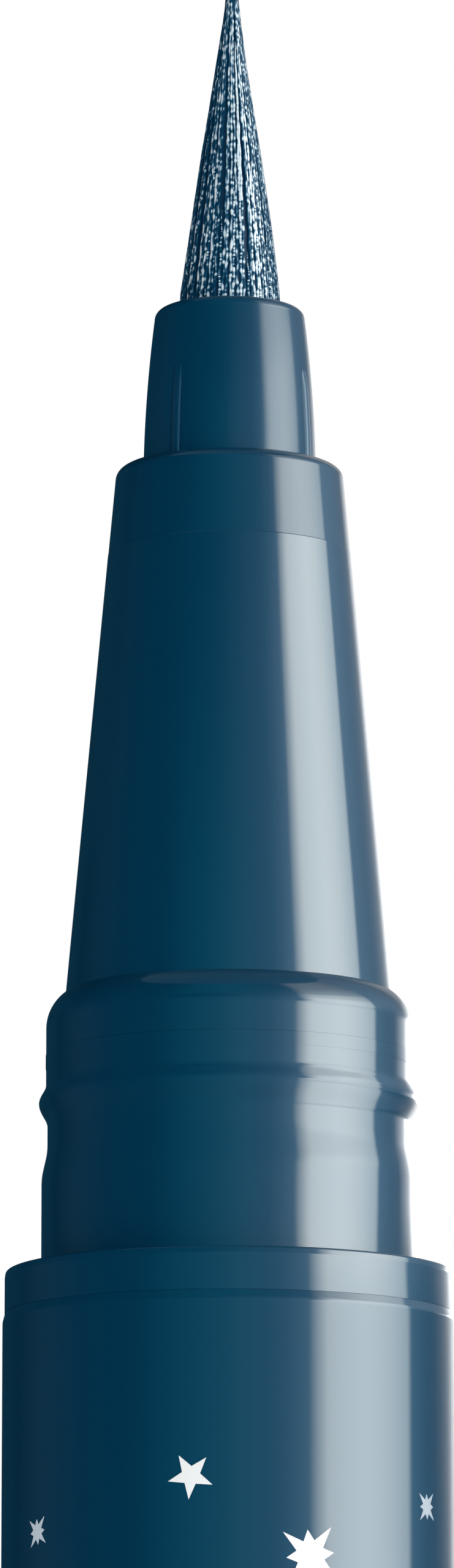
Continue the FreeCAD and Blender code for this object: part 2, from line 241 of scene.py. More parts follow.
def lacqueredAbs(name, **changes):
    finish = {**teal, **changes}
    material, tree, shader = surface(
        name, Base_Color=colour(finish["base"]), Roughness=finish["roughness"], IOR=finish["ior"],
        Specular_IOR_Level=finish["glow"], Specular_Tint=colour(finish["pearl"]),
        Coat_Weight=finish["coat"], Coat_Roughness=finish["coatRoughness"], Coat_IOR=finish["coatIor"])
    place = addNode(tree, "ShaderNodeTexCoord")
    grain = addNode(tree, "ShaderNodeTexNoise", {"Vector": place.outputs["Object"]},
                    inputs={"Scale": 1 / (finish["orangePeel"] * mm), "Detail": 1.0})
    bump = addNode(tree, "ShaderNodeBump", {"Height": grain.outputs["Fac"]},
                   inputs={"Strength": finish["peelStrength"], "Distance": finish["peelHeight"] * mm})
    tree.links.new(bump.outputs["Normal"], shader.inputs["Coat Normal"])
    return material


barrelAbs = lacqueredAbs("lacqueredAbsBarrel")
fittingAbs = lacqueredAbs("lacqueredAbsNose")
# the ferrule's lacquer is thinner and duller
ferruleAbs = lacqueredAbs("lacqueredAbsFerrule", coat=0.60, coatRoughness=0.12, glow=0.23)
# the ribs keep the mould's fine matt grain
ribAbs = lacqueredAbs("grainedAbsRibs", coat=0.9, coatRoughness=0.42)


# White pad-print ink: flat, opaque, slightly satin; on the small stars it lies thinner and looks greyer
ink = dict(full="#FAFBFB", thin="#C6D4E0", roughness=0.42, ior=1.5)
whiteInk = surface("padPrintInk", Base_Color=colour(ink["full"]), Roughness=ink["roughness"],
                   IOR=ink["ior"])[0]
thinInk = surface("thinPadPrintInk", Base_Color=colour(ink["thin"]), Roughness=ink["roughness"],
                  IOR=ink["ior"])[0]

# Drawn nylon filaments inked dark. Glints and shade are painted into their colour: the tone of a point
# is 0 where the filament is bare and 1 on a full painted glint, and gloss and coat rise with it. The
# filaments' crimp is 0.11 mm long.
nylon = dict(roughness=0.36, ior=1.53, coatRoughness=0.14, coatIor=1.5,
             bareToPaintedGlint=[(0.0, "#042B44"), (0.34, "#124868"), (0.52, "#82A4B7"), (0.74, "#D6E2E9")],
             shineTones=(0.2, 0.8), shine=(0.08, 0.8), wetTones=(0.15, 0.6), wetCoat=0.9,
             crimp=0.11, crimpHeight=0.04, crimpStrength=0.8, core="#01243F", coreRoughness=0.6)


def nylonFilament():
    material, tree, shader = surface(
        "drawnNylonFilament", Roughness=nylon["roughness"], IOR=nylon["ior"],
        Specular_Tint=colour(teal["pearl"]), Coat_Roughness=nylon["coatRoughness"],
        Coat_IOR=nylon["coatIor"])
    place = addNode(tree, "ShaderNodeTexCoord")
    tone = addNode(tree, "ShaderNodeAttribute", attribute_name="tone")
    bareToPaintedGlint = addNode(tree, "ShaderNodeValToRGB", {"Fac": tone.outputs["Fac"]},
                     stops=[(position, colour(tint)[:3]) for position, tint in nylon["bareToPaintedGlint"]])
    shine = addNode(tree, "ShaderNodeMapRange", {"Value": tone.outputs["Fac"]},
                    inputs={"From Min": nylon["shineTones"][0], "From Max": nylon["shineTones"][1],
                            "To Min": nylon["shine"][0], "To Max": nylon["shine"][1]})
    wet = addNode(tree, "ShaderNodeMapRange", {"Value": tone.outputs["Fac"]},
                  inputs={"From Min": nylon["wetTones"][0], "From Max": nylon["wetTones"][1],
                          "To Max": nylon["wetCoat"]})
    crimp = addNode(tree, "ShaderNodeTexNoise", {"Vector": place.outputs["Object"]},
                    inputs={"Scale": 1 / (nylon["crimp"] * mm), "Detail": 2.0})
    bump = addNode(tree, "ShaderNodeBump", {"Height": crimp.outputs["Fac"]},
                   inputs={"Strength": nylon["crimpStrength"], "Distance": nylon["crimpHeight"] * mm})
    tree.links.new(bareToPaintedGlint.outputs["Color"], shader.inputs["Base Color"])
    tree.links.new(shine.outputs["Result"], shader.inputs["Specular IOR Level"])
    tree.links.new(wet.outputs["Result"], shader.inputs["Coat Weight"])
    tree.links.new(bump.outputs["Normal"], shader.inputs["Coat Normal"])
    tree.links.new(bump.outputs["Normal"], shader.inputs["Normal"])
    return material


drawnNylon = nylonFilament()
# The same nylon inside the bundle, out of the light; its own dark colour made a little darker than the bare
# filaments' as painted shade in the gaps between them
gapShadeNylon = surface("gapShadeNylonCore", Base_Color=colour(nylon["core"]),
                      Roughness=nylon["coreRoughness"], IOR=nylon["ior"])[0]

print("shapes")

# cap seat, groove and snap bead, alike at nose and tail; at the nose the shading keeps only the shares
# grooveTilt and beadTilt of their slopes, from softFoot above the collar
snap = dict(seat=4.57, seatLength=2.42, rampLength=0.46, groove=4.43, grooveLength=0.70, soften=0.12,
            bead=4.64, beadLength=1.14, land=4.47, steps=12, softFoot=0.5, grooveTilt=0.22,
            grooveMiddle=126.39, beadTilt=0.35)


def snapCorners(start, sign):
    # seat, groove, bead and land run into one another on smooth waves
    soften = sign * snap["soften"]
    seatEnd = start + sign * snap["seatLength"]
    grooveStart = seatEnd + sign * snap["rampLength"]
    grooveEnd = grooveStart + sign * snap["grooveLength"]
    beadEnd = grooveEnd + sign * snap["beadLength"]
    levels = [(snap["seat"], seatEnd - 2 * soften), (snap["groove"], grooveStart + 2 * soften),
              (snap["groove"], grooveEnd), (snap["bead"], (grooveEnd + beadEnd) / 2),
              (snap["land"], beadEnd - soften)]
    points = [(snap["seat"], start), levels[0]]
    for (lowRadius, low), (highRadius, high) in zip(levels, levels[1:]):
        for step in range(1, snap["steps"] + 1):
            share = step / snap["steps"]
            points.append((lowRadius + (highRadius - lowRadius) * (1 - math.cos(math.pi * share)) / 2,
                           low + (high - low) * share))
    return points


# barrel
barrel = dict(radius=5.50, bore=4.80, foot=43.04, top=122.04, edge=0.04, bevelIn=0.055, bevelHeight=0.20,
              bevelRound=0.3)
barrelShell = turnedObject("barrel_shell", [
    (barrel["bore"], barrel["foot"]), (barrel["radius"], barrel["foot"], barrel["edge"]),
    (barrel["radius"], barrel["top"] - barrel["bevelHeight"], barrel["bevelRound"]),
    (barrel["radius"] - barrel["bevelIn"], barrel["top"]), (barrel["bore"], barrel["top"])],
    barrelAbs, "pen", around=288)
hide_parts("barrel")

# front section: collar, skirt in the barrel, seat and bead
front = dict(skirt=4.77, skirtBore=4.12, skirtFoot=112.08, collar=5.45, collarFoot=122.045,
             collarTop=123.04, brim=123.08, brimEdge=0.07, bevelIn=0.023, bevelHeight=0.16,
             rim=4.48, rimFoot=128.05, rimTop=128.37, socket=3.67, socketFoot=125.97,
             innerBore=2.94, innerTop=125.17, innerFoot=124.67)
frontShell = turnedObject("front_section_shell", [
    (front["skirtBore"], front["skirtFoot"]), (front["skirt"], front["skirtFoot"]),
    (front["skirt"], front["collarFoot"]), (front["collar"], front["collarFoot"]),
    (front["collar"], front["brim"] - front["bevelHeight"], front["bevelHeight"]),
    (front["collar"] - front["bevelIn"], front["brim"], front["brimEdge"]), (snap["seat"], front["brim"]),
    *snapCorners(front["collarTop"], 1)[1:],
    (snap["land"], front["rimFoot"]), (front["rim"], front["rimFoot"]), (front["rim"], front["rimTop"]),
    (front["socket"], front["rimTop"]), (front["socket"], front["socketFoot"]),
    (front["innerBore"], front["socketFoot"]), (front["innerBore"], front["innerTop"]),
    (front["skirtBore"], front["innerFoot"])], fittingAbs, "pen",
    soft=[(front["collarTop"] + snap["softFoot"], snap["grooveMiddle"], snap["grooveTilt"]),
          (snap["grooveMiddle"], front["rimTop"], snap["beadTilt"])])
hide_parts("front_section")

# nose cone: domed shoulder and long cone with a fine ring near its top
cone = dict(foot=128.375, dome=4.47, domeRound=1.00, coneFoot=129.90, footRadius=4.00, top=143.00,
            topRadius=2.80, ringDepth=2.17, ringStep=0.008, topTilt=1.6, edge=0.28, stub=3.64,
            stubFoot=126.01, stubBore=2.94, neck=2.08, step=135.24, flangeRoom=2.63, flangeFoot=134.36,
            innerFoot=133.70)


def coneCorners():
    slope = (cone["footRadius"] - cone["topRadius"]) / (cone["top"] - cone["coneFoot"])
    ring = cone["top"] - cone["ringDepth"]
    ringRadius = cone["topRadius"] + slope * cone["ringDepth"]
    centre = cone["dome"] - cone["domeRound"]
    level = cone["coneFoot"] - math.sqrt(cone["domeRound"] ** 2 - (cone["footRadius"] - centre) ** 2)
    halfTurn = math.acos((cone["footRadius"] - centre) / cone["domeRound"]) / 2
    return [(cone["stubBore"], cone["stubFoot"]), (cone["stub"], cone["stubFoot"]),
            (cone["stub"], cone["foot"]), (cone["dome"], cone["foot"]), (cone["dome"], level),
            ("arc", centre + cone["domeRound"] * math.cos(halfTurn),
             level + cone["domeRound"] * math.sin(halfTurn)),
            (cone["footRadius"], cone["coneFoot"]), (ringRadius, ring),
            (ringRadius - cone["ringStep"], ring + cone["ringStep"] * 2),
            (cone["topRadius"] - cone["ringStep"], cone["top"], cone["edge"]),
            (cone["neck"], cone["top"]), (cone["neck"], cone["step"]), (cone["flangeRoom"], cone["step"]),
            (cone["flangeRoom"], cone["flangeFoot"]), (cone["stubBore"], cone["innerFoot"])]


# above the ring the cone's sides shade as if they leaned a little more
coneBand = (cone["top"] - cone["ringDepth"] + cone["ringStep"], cone["top"], cone["topTilt"])
coneShell = turnedObject("nose_cone_shell", coneCorners(), fittingAbs, "pen", steps=10, soft=[coneBand])
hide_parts("nose_cone")

# ferrule with its fine ribs
ferrule = dict(foot=143.00, gap=0.04, footRadius=2.13, waistRadius=2.03, topRadius=1.83, height=4.03,
               waistHeight=2.10, edge=0.24, stem=2.05, stemFoot=134.40, flange=2.60, flangeHeight=0.80,
               pocket=1.80, pocketTop=137.80, brushBore=1.305)
# the ribs' azimuths are spread to both sides of a middle, in front and behind
rib = dict(middle=13.2, spread=52.2, width=0.28, height=0.045, low=0.04, length=2.4, ramp=0.5,
           sunk=0.02, across=8, along=24)


def ferruleRadius(height):
    # straight-sided below, drawn in above, on one arc
    waist = (ferrule["waistRadius"], ferrule["waistHeight"])
    ox, oy = circleThrough((ferrule["footRadius"], 0), waist, (ferrule["topRadius"], ferrule["height"]))
    reach = math.sqrt((ferrule["footRadius"] - ox) ** 2 + oy ** 2 - (height - oy) ** 2)
    return ox + math.copysign(reach, waist[0] - ox)


def ferruleCorners():
    shelf = ferrule["foot"] + ferrule["gap"]
    brim = ferrule["height"] - ferrule["edge"]
    brimRadius = ferruleRadius(brim)
    roll = ferrule["edge"] * (1 - math.sqrt(0.5))
    top = ferrule["foot"] + ferrule["height"]
    flangeTop = ferrule["stemFoot"] + ferrule["flangeHeight"]
    return [(ferrule["pocket"], ferrule["stemFoot"]), (ferrule["flange"], ferrule["stemFoot"]),
            (ferrule["flange"], flangeTop), (ferrule["stem"], flangeTop), (ferrule["stem"], shelf),
            (ferruleRadius(ferrule["gap"]), shelf),
            ("arc", ferruleRadius(brim / 2), ferrule["foot"] + brim / 2),
            (brimRadius, ferrule["foot"] + brim), ("arc", brimRadius - roll, top - roll),
            (brimRadius - ferrule["edge"], top), (ferrule["brushBore"], top),
            (ferrule["brushBore"], ferrule["pocketTop"]), (ferrule["pocket"], ferrule["pocketTop"])]


ferruleShell = turnedObject("nose_ferrule_shell", ferruleCorners(), ferruleAbs, "pen", steps=10)
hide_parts("nose_ferrule")


def ferruleRibs():
    # four low half-round ribs, sunk a little into the ferrule and faded out at their tops
    vertices, faces = [], []
    across, along = rib["across"], rib["along"]
    for azimuth in (rib["middle"] - rib["spread"], rib["middle"] + rib["spread"],
                    rib["middle"] + 180 - rib["spread"], rib["middle"] + 180 + rib["spread"]):
        first = len(vertices)
        for j in range(along + 1):
            up = rib["low"] + (rib["length"] - rib["low"]) * j / along
            fade = min(1, (rib["length"] - up) / rib["ramp"])
            base = ferruleRadius(up)
            for i in range(across + 1):
                share = 2 * i / across - 1
                rise = rib["height"] * math.sqrt(max(0, 1 - share * share)) * fade
                sink = rib["sunk"] if abs(share) == 1 or j in (0, along) else 0
                angle = math.radians(azimuth) + share * rib["width"] / 2 / base
                r = base + rise - sink
                vertices.append((r * math.sin(angle), -r * math.cos(angle), ferrule["foot"] + up))
        row = across + 1
        for j in range(along):
            for i in range(across):
                a = first + j * row + i
                faces.append((a, a + 1, a + 1 + row, a + row))
    return newObject("ferrule_ribs", vertices, faces, ribAbs, "pen")


ferruleRibs()

# brush: a dark core and tapering filaments round it
brush = dict(foot=147.03, radius=1.275, heel=137.76, pipeHole=0.48, pipeTop=141.80, start=-1.2,
             coreInset=0.07)
# height above the ferrule and the bundle's radius there, and how far it leans to the right there
brushOutline = [(-9.27, 1.275), (0, 1.275), (0.5, 1.24), (2.02, 1.04), (4.0, 0.755), (5.16, 0.565),
                (6.37, 0.38), (7.52, 0.22), (9.11, 0.03)]
brushLean = [(-9.27, 0), (0, 0), (2.0, 0.032), (6.4, 0.036), (9.11, 0.085)]
# a filament is thickest at the foot, comes to a point over its last 1.1 mm, and wavers a little
filament = dict(count=84, sides=6, steps=132, seed=5, thickness=0.09, slimmest=0.5, point=1.1,
                pointPower=0.7, pointEnd=0.06, jitter=0.16, inset=0.016, drift=0.05, waver=0.012,
                waverAlong=9, waverRound=37, bundling=0.6, normalRise=0.03, endStep=0.05,
                endSpare=0.6, endGap=0.02)
# levels of the painted glints and their spread, how they change towards the tip, the painted highlight on
# the side where the light falls, the painted highlight on a filament's ridge with painted shade beside it,
# and the evener painted highlight on the filaments a little to the right of the front; azimuths in degrees
paintedGlint = dict(tones=(0.0, 0.06, 0.17, 0.32, 0.46), spread=0.32, topTone=-0.2, lightSidePaint=0.36, lightSideAt=52,
             lightSideMost=0.6, ridge=1.05, ridgeMiddle=0.77, paleFrom=9, paleTo=21, paleFoot=2.6,
             paleTone=0.5, paleSpread=0.5)


def brushValue(table, height):
    for (low, lowValue), (high, highValue) in zip(table, table[1:]):
        if height <= high:
            return lowValue + (highValue - lowValue) * max(0, height - low) / (high - low)
    return table[-1][1]


def evenOrder(count):
    # bit-reversed ranks, so that the filaments left at any height stand evenly round
    bits = max(1, (count - 1).bit_length())
    keys = sorted(range(count), key=lambda i: int(format(i, "0%db" % bits)[::-1], 2))
    ranks = [0] * count
    for rank, index in enumerate(keys):
        ranks[index] = rank
    return ranks


def slimness(share):
    # a filament's share of its full thickness where the bundle has this share of its full radius
    return filament["slimmest"] + (1 - filament["slimmest"]) * share


def filamentEnd(rank):
    # height at which the outline has room for no more than rank + 1 filaments
    length, height = brushOutline[-1][0], 0.0
    while height < length - filament["endGap"]:
        share = brushValue(brushOutline, height) / brush["radius"]
        if filament["count"] * share / slimness(share) < rank + 1:
            break
        height += filament["endStep"]
    return min(length - filament["endGap"], height + filament["endSpare"])


def brushFilaments():
    rng = random.Random(filament["seed"])
    vertices, faces, normals, tones = [], [], [], []
    sides, steps, length = filament["sides"], filament["steps"], brushOutline[-1][0]
    # wetted filaments cling together, so light sees the bundle's shape as much as their own
    bundle = filament["bundling"]

    def addFilament(azimuth, end, tone, inset):
        first = len(vertices)
        # painted highlight: filaments a little to the right of the front are painted an even pale tone above
        # paleFoot
        pale = paintedGlint["paleFrom"] < math.degrees(azimuth) < paintedGlint["paleTo"]
        # painted highlight: filaments on the right, where the light falls, are painted paler, more so
        # towards the tip
        aside = math.cos(azimuth - math.radians(paintedGlint["lightSideAt"]))
        lightSideGlint = paintedGlint["lightSidePaint"] * min(paintedGlint["lightSideMost"], aside)
        drift = rng.uniform(-filament["drift"], filament["drift"])
        for j in range(steps + 1):
            up = brush["start"] + (end - brush["start"]) * j / steps
            radius = brushValue(brushOutline, max(0, up))
            share = radius / brush["radius"]
            point = filament["pointEnd"] + (max(0, end - up) / filament["point"]) ** filament["pointPower"]
            thick = filament["thickness"] / 2 * slimness(share) * min(1, point)
            out = max(0, radius - thick - inset * share)
            waver = math.sin(up * filament["waverAlong"] + azimuth * filament["waverRound"])
            angle = azimuth + drift * (up / length) + filament["waver"] * waver
            wide, deep = math.sin(angle), -math.cos(angle)
            even = pale and up > paintedGlint["paleFoot"]
            glint = paintedGlint["paleTone"] if even else tone
            glint += lightSideGlint * (1 + max(0, up) / length) + paintedGlint["topTone"] * max(0, up) / length
            glint += rng.gauss(0, paintedGlint["spread"] * (paintedGlint["paleSpread"] if even else 1))
            glint = min(1, max(0, glint))
            lean = brushValue(brushLean, up)
            for i in range(sides):
                turn = 2 * math.pi * i / sides + math.atan2(deep, wide)
                across, along = math.cos(turn), math.sin(turn)
                vertices.append((wide * out + thick * across + lean, deep * out + thick * along,
                                 brush["foot"] + up))
                normals.append(((1 - bundle) * across + bundle * wide,
                                (1 - bundle) * along + bundle * deep, filament["normalRise"]))
                # painted highlight along a filament's outer ridge, and painted shade at its sides between it
                # and its neighbours
                facing = math.cos(2 * math.pi * i / sides)
                tones.append(min(1, max(0, glint + paintedGlint["ridge"] * (facing - paintedGlint["ridgeMiddle"]))))
        for j in range(steps):
            for i in range(sides):
                a, b = first + j * sides + i, first + j * sides + (i + 1) % sides
                faces.append((a, b, b + sides, a + sides))
        faces.append([first + i for i in range(sides)][::-1])
        faces.append([first + steps * sides + i for i in range(sides)])

    ranks = evenOrder(filament["count"])
    for index in range(filament["count"]):
        aside = rng.uniform(-filament["jitter"], filament["jitter"])
        azimuth = 2 * math.pi * (index + aside) / filament["count"] - math.pi
        addFilament(azimuth, filamentEnd(ranks[index]), rng.choice(paintedGlint["tones"]),
                    abs(rng.gauss(0, filament["inset"])))
    loopNormals = [normals[v] for face in faces for v in face]
    obj = newObject("brush_filaments", vertices, faces, drawnNylon, "pen", loopNormals)
    attribute = obj.data.attributes.new("tone", "FLOAT", "POINT")
    attribute.data.foreach_set("value", tones)
    return obj


def coreCorners():
    # the inside of the bundle, just under the filaments, with the hole for the feed pipe
    inset = brush["coreInset"]
    side = [(max(0.01, r - inset), brush["foot"] + h) for h, r in brushOutline[1:]]
    heel, pipe, pipeTop = brush["heel"], brush["pipeHole"], brush["pipeTop"]
    return [(pipe, heel), (brush["radius"], heel), (brush["radius"], brush["foot"] + brush["start"]),
            (brush["radius"] - inset, brush["foot"] + brush["start"]), *side,
            (0, side[-1][1]), (0, pipeTop), (pipe, pipeTop)]


filaments = brushFilaments()
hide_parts("brush_tip")
brushCore = turnedObject("brush_core", coreCorners(), gapShadeNylon, "pen", around=64)
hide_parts("brush_tip")

# tail plug: collar and closed spigot that the cap is posted on
tail = dict(spigotFoot=29.29, spigotEdge=0.5, collarFoot=42.04, collar=5.45, collarTop=43.00,
            collarEdge=0.10, skirt=4.77, plugTop=50.04, bore=3.67, floorTop=30.09)
tailShell = turnedObject("tail_plug_shell", [
    (0, tail["spigotFoot"]), (snap["land"], tail["spigotFoot"], tail["spigotEdge"]),
    *reversed(snapCorners(tail["collarFoot"], -1)),
    (tail["collar"], tail["collarFoot"], tail["collarEdge"]),
    (tail["collar"], tail["collarTop"], tail["collarEdge"]), (tail["skirt"], tail["collarTop"]),
    (tail["skirt"], tail["plugTop"]), (tail["bore"], tail["plugTop"]), (tail["bore"], tail["floorTop"]),
    (0, tail["floorTop"])], fittingAbs, "pen")
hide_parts("tail_plug")

# cap
cap = dict(radius=5.50, length=42.0, floor=1.20, footEdge=0.60, mouthEdge=0.15, bore=4.71,
           ringRadius=4.665, ringMiddle=38.77, ringHalf=0.30, step=28.79, inner=4.35)
capShell = turnedObject("cap_shell_outer", [
    (0, 0), (cap["radius"], 0, cap["footEdge"]), (cap["radius"], cap["length"], cap["mouthEdge"]),
    (cap["bore"], cap["length"], cap["mouthEdge"]), (cap["bore"], cap["ringMiddle"] + cap["ringHalf"]),
    ("arc", cap["ringRadius"], cap["ringMiddle"]), (cap["bore"], cap["ringMiddle"] - cap["ringHalf"]),
    (cap["bore"], cap["step"]), (cap["inner"], cap["step"]), (cap["inner"], cap["floor"]),
    (0, cap["floor"])], barrelAbs, "cap", around=288)
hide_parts("cap_shell")

print("printed stars")

# printed stars: plain five-pointed stars and starbursts, 0.008 mm of ink on the shell, and the margins
# that the scatter keeps from the ends of barrel and cap
stars = dict(ink=0.008, sunk=0.02, rings=4, seed=11, spacing=4.6, tries=4000, barrelFoot=2,
             barrelTop=9.5, capFoot=3, capTop=2)
starKinds = {
    # (outer, inner) radii of a five-pointed star; long rays, short rays and notches of a starburst
    "star": [0.56, 0.225] * 5,
    "burst": [0.86, 0.36, 0.60, 0.36] * 4,
    "smallBurst": [0.45, 0.18, 0.30, 0.18] * 4,
}
# azimuth from the front, height and turn of the stars that the photograph shows
shownStars = [("star", -9.6, 117.64, 185), ("burst", 20.1, 115.80, 38), ("smallBurst", -56.0, 116.53, 39),
              ("smallBurst", 58.2, 117.14, 42)]


def scatter(rng, low, high, placed):
    # evenly mixed places round the shell, none nearer to another than the spacing
    found, tries = [], 0
    while tries < stars["tries"]:
        tries += 1
        azimuth, height = rng.uniform(-180, 180), rng.uniform(low, high)
        clear = all(math.hypot(math.radians((azimuth - a + 180) % 360 - 180) * barrel["radius"], height - h)
                    > stars["spacing"] for _, a, h, _ in placed + found)
        if clear:
            found.append((rng.choice(("star", "burst", "smallBurst")), azimuth, height, rng.uniform(0, 360)))
    return found


def printStars(name, places, body):
    vertices, faces, inks = [], [], []
    radius = barrel["radius"]
    for kind, azimuth, height, turn in places:
        radii = starKinds[kind]
        count = len(radii)
        layers = []
        for top in (True, False):
            r = radius + stars["ink"] if top else radius - stars["sunk"]
            layers.append(len(vertices))
            around = math.radians(azimuth)
            vertices.append((r * math.sin(around), -r * math.cos(around), height))
            for ring in range(1, stars["rings"] + 1):
                for i, reach in enumerate(radii):
                    angle = math.radians(turn) + 2 * math.pi * i / count
                    x = reach * ring / stars["rings"] * math.sin(angle)
                    y = reach * ring / stars["rings"] * math.cos(angle)
                    a = around + x / radius
                    vertices.append((r * math.sin(a), -r * math.cos(a), height + y))
        for layer, first in enumerate(layers):
            for i in range(count):
                n = (i + 1) % count
                tri = [first, first + 1 + n, first + 1 + i]
                faces.append(tri if layer == 0 else tri[::-1])
                for ring in range(stars["rings"] - 1):
                    a = first + 1 + ring * count
                    quad = [a + i, a + n, a + n + count, a + i + count]
                    faces.append(quad if layer == 0 else quad[::-1])
        rim = 1 + (stars["rings"] - 1) * count
        for i in range(count):
            n = (i + 1) % count
            upper, lower = layers[0] + rim, layers[1] + rim
            faces.append((upper + i, upper + n, lower + n, lower + i))
        inks += [1 if kind == "smallBurst" else 0] * (len(faces) - len(inks))
    obj = newObject(name, vertices, faces, whiteInk, body)
    obj.data.materials.append(thinInk)
    obj.data.polygons.foreach_set("material_index", inks)
    obj.data.set_sharp_from_angle(angle=sharpAngle)
    return obj


starRng = random.Random(stars["seed"])
barrelStars = shownStars + scatter(starRng, barrel["foot"] + stars["barrelFoot"],
                                   barrel["top"] - stars["barrelTop"], shownStars)
printStars("barrel_stars", barrelStars, "pen")
printStars("cap_stars", scatter(starRng, stars["capFoot"], cap["length"] - stars["capTop"], []), "cap")

print("inner pieces")

# inner pieces keep their CAD shapes
innerFinishes = {
    "mouldedPolypropylene": dict(nodes=["nib_retainer", "feed_pipe", "collector", "tank_joint",
                                        "inner_cap_retainer"], base="#E4E6E4", rough=0.38, ior=1.49),
    "softPolyethylene": dict(nodes=["inner_cap"], base="#ECECE8", rough=0.5, ior=1.51),
    "milkyPolypropylene": dict(nodes=["ink_tank"], base="#D5DADC", rough=0.3, ior=1.49),
    "bondedPolyesterFibre": dict(nodes=["overflow_wick", "relay_core"], base="#D2D0C8", rough=0.9, ior=1.5),
    "fusedNylon": dict(nodes=["brush_heel"], base="#0A2A3E", rough=0.5, ior=1.53),
    "mouldedNitrileRubber": dict(nodes=["tank_seal_ring", "tail_cushion"], base="#232427", rough=0.6,
                                 ior=1.52),
}


def refinish(node, material):
    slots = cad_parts[node].data.materials
    slots.clear()
    slots.append(material)


for name, finish in innerFinishes.items():
    innerMaterial = surface(name, Base_Color=colour(finish["base"]), Roughness=finish["rough"],
                            IOR=finish["ior"])[0]
    for node in finish["nodes"]:
        refinish(node, innerMaterial)

# Drawn and ground stainless steel: bright and sharp
steel = surface("groundStainlessSteel", Base_Color=colour("#C9CBCC"), Metallic=1.0, Roughness=0.22)[0]
refinish("mixing_ball", steel)

# spring behind the inner cap
spring = dict(radius=2.00, wire=0.18, turns=6, foot=1.41, top=8.49, seat=1.20, travel=1.20, around=12,
              perTurn=48)


def springCoil():
    vertices, faces = [], []
    around, rings = spring["around"], spring["turns"] * spring["perTurn"]
    climb = (spring["top"] - spring["foot"]) / (2 * math.pi * spring["turns"])
    size = math.hypot(spring["radius"], climb)
    for j in range(rings + 1):
        turn = 2 * math.pi * j / spring["perTurn"]
        for i in range(around):
            angle = 2 * math.pi * i / around
            r = spring["radius"] + spring["wire"] * math.cos(angle)
            lift = spring["wire"] * math.sin(angle)
            aside = -lift * climb / size
            vertices.append((r * math.cos(turn) - aside * math.sin(turn),
                             r * math.sin(turn) + aside * math.cos(turn),
                             spring["foot"] + climb * turn + lift * spring["radius"] / size))
    for j in range(rings):
        for i in range(around):
            a, b = j * around + i, j * around + (i + 1) % around
            faces.append((a, a + around, b + around, b))
    faces.append(range(around))
    faces.append([rings * around + i for i in range(around)][::-1])
    obj = newObject("cap_spring_coil", vertices, faces, steel, "cap")
    obj.data.set_sharp_from_angle(angle=sharpAngle)
    return obj


coil = springCoil()
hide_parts("cap_spring")
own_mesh(coil)

print("studio")

# floor: pale paper that keeps the pen's shadow and runs out to a white backdrop
floor = dict(half=1500, base="#ECEDEE", roughness=0.8, fadeFrom=20, fadeTo=190, paleness=0.45)


def seamlessPaper():
    material, tree, shader = surface("paleSeamlessPaper", Base_Color=colour(floor["base"]),
                                     Roughness=floor["roughness"])
    place = addNode(tree, "ShaderNodeTexCoord")
    away = addNode(tree, "ShaderNodeVectorMath", {0: place.outputs["Object"]}, operation="LENGTH")
    fade = addNode(tree, "ShaderNodeMapRange", {"Value": away.outputs["Value"]},
                   interpolation_type="SMOOTHSTEP",
                   inputs={"From Min": floor["fadeFrom"] * mm, "From Max": floor["fadeTo"] * mm,
                           "To Min": floor["paleness"]})
    path = addNode(tree, "ShaderNodeLightPath")
    seen = addNode(tree, "ShaderNodeMath", {0: fade.outputs["Result"], 1: path.outputs["Is Camera Ray"]},
                   operation="MULTIPLY")
    white = addNode(tree, "ShaderNodeEmission", inputs={"Color": (1, 1, 1, 1)})
    mixed = addNode(tree, "ShaderNodeMixShader",
                    {0: seen.outputs[0], 1: shader.outputs[0], 2: white.outputs[0]})
    tree.links.new(mixed.outputs[0], tree.nodes["Material Output"].inputs["Surface"])
    return material


floorPlane = newObject("floor", [(-floor["half"], -floor["half"], 0), (floor["half"], -floor["half"], 0),
                                 (floor["half"], floor["half"], 0), (-floor["half"], floor["half"], 0)],
                       [(0, 1, 2, 3)], seamlessPaper(), None)
floorPlane.visible_glossy = False

# tent round the pen, seen only by reflections: a softbox at the right, a dim gap beside it,
# white paper behind at the right and black flags at the left
tent = dict(radius=450, foot=-400, top=900, gain=12.0, roof="#66808B", around=120)
# bands: azimuth from the camera's side in degrees, positive to the right, brightness and, where it
# isn't the part's own, tint; heights: height and the share of that brightness;
# narrowing: height, and how much narrower the softbox is there, seen from its middle;
# shift: height, and how many degrees nearer to the camera's side it is there
softbox = dict(
    bands=[(-180, 0.0046, "#59C4FF"), (-150, 0.0046, "#59C4FF"), (-140, 0, "#59C4FF"),
           (-35, 0.0, "#FFFFFF"), (-17, 0.003, "#FFFFFF"), (0, 0.010, "#E8FFFF"),
           (25, 0.022, "#F4FFFF"), (42, 0.06, "#FFFAF4"), (47, 0.42), (53, 0.78), (60, 0.82),
           (74, 0.825), (81, 0.76), (89, 0.65), (95, 0.55, "#F9F9F1"), (101, 0.455, "#F4F7F0"),
           (106, 0.375, "#F1F7F1"), (109, 0.0, "#A4B4C4"), (180, 0.0, "#A4B4C4")],
    tint="#FCF8EC",
    heights=[(-400, 0.45), (-60, 0.45), (0, 1.0), (140, 1.04), (152, 0.88), (174, 0.88), (176, 1.0),
             (177.5, 1.1), (180, 1.1), (184, 1.07), (196, 1.1), (206, 1.06), (218, 0.96), (238, 0.94),
             (248, 1.02), (260, 1.05), (276, 1.04), (290, 1.02), (306, 1.03), (316, 1.0), (322, 0.92),
             (328, 0.8), (346, 0.75), (375, 0.72), (400, 0.55), (430, 0.34), (480, 0.3), (560, 0.2),
             (900, 0.13)],
    middle=88,
    narrowing=[(-400, 1.046), (174, 1.046), (177, 1.1), (181, 1.043), (205, 1.043), (243, 1.043),
               (251, 1.1), (270, 1.11), (300, 1.105), (310, 1.08), (900, 1.08)],
    mostShift=10,
    shift=[(-400, 4.1), (174, 4.1), (177, 5.8), (181, 5.0), (187, 4.8), (191, 3.7), (205, 3.1),
           (243, 3.1), (251, 0.5), (260, 0), (900, 0)])
